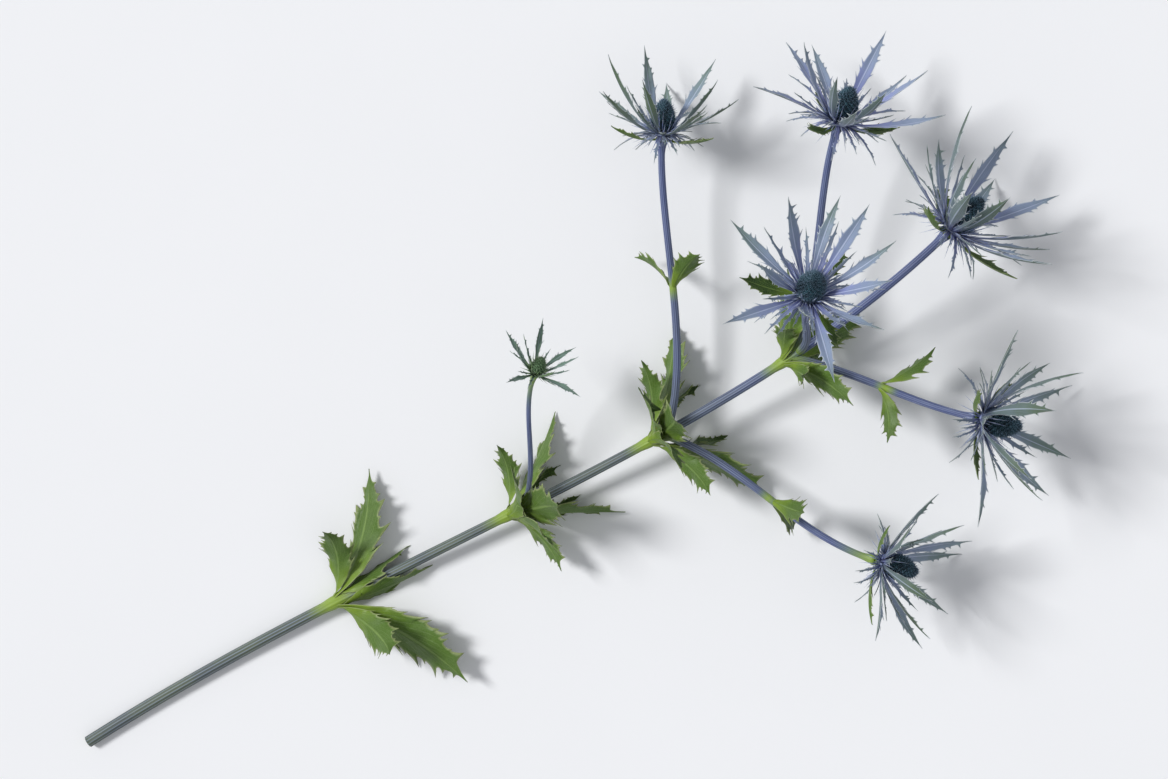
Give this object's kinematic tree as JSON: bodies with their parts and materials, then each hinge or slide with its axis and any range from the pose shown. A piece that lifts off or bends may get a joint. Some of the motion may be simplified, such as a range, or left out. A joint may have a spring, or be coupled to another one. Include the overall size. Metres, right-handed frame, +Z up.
{
  "type": "cut sea holly stem",
  "caption": "Cut, branched sea holly stem lying on a surface: spiny blue flower heads with egg-shaped cones, and whorls of lobed, spiny leaves.",
  "frame": {"origin": "middle of the stem's own box, on the surface that it lies on", "axes": "+X along the stem from the cut end to the flower heads, +Z up from the surface, +Y to the left of the stem as it is seen from above with the heads ahead"},
  "size_m": [0.5984, 0.3442, 0.1555],
  "materials": {
    "stem": "satin, finely grooved, grey-green at the cut end to violet-blue at the stalks",
    "leaf": "leathery leaf tissue, mid green with pale veins and pale spiny margins",
    "bract": "stiff bract tissue, steel blue to violet-blue with a pale midrib, green outside",
    "cone": "matt, dark teal florets with pale tips",
    "bud": "young green bract tissue"
  },
  "bodies": {
    "root": {"stem": "stem", "terminal_collar": "leaf", "terminal_bracts": "bract", "terminal_cone": "cone", "left_upper_collar": "leaf", "left_upper_bracts": "bract", "left_upper_cone": "cone", "right_upper_collar": "leaf", "right_upper_bracts": "bract", "right_upper_cone": "cone", "raised_collar": "leaf", "raised_bracts": "bract", "raised_cone": "cone", "left_lower_collar": "leaf", "left_lower_bracts": "bract", "left_lower_cone": "cone", "right_lower_collar": "leaf", "right_lower_bracts": "bract", "right_lower_cone": "cone", "bud_bracts": "bud", "bud_cone": "bud", "low_leaf_1": "leaf", "low_leaf_2": "leaf", "middle_leaf_1": "leaf", "middle_leaf_2": "leaf", "middle_leaf_3": "leaf", "branching_leaf_1": "leaf", "branching_leaf_2": "leaf", "branching_leaf_3": "leaf", "crown_leaf_1": "leaf", "crown_leaf_2": "leaf", "crown_leaf_3": "leaf", "left_lower_leaf_1": "leaf", "left_lower_leaf_2": "leaf", "right_lower_leaf_1": "leaf", "right_lower_leaf_2": "leaf", "right_upper_leaf_1": "leaf", "right_upper_leaf_2": "leaf"}
  },
  "joints": []
}
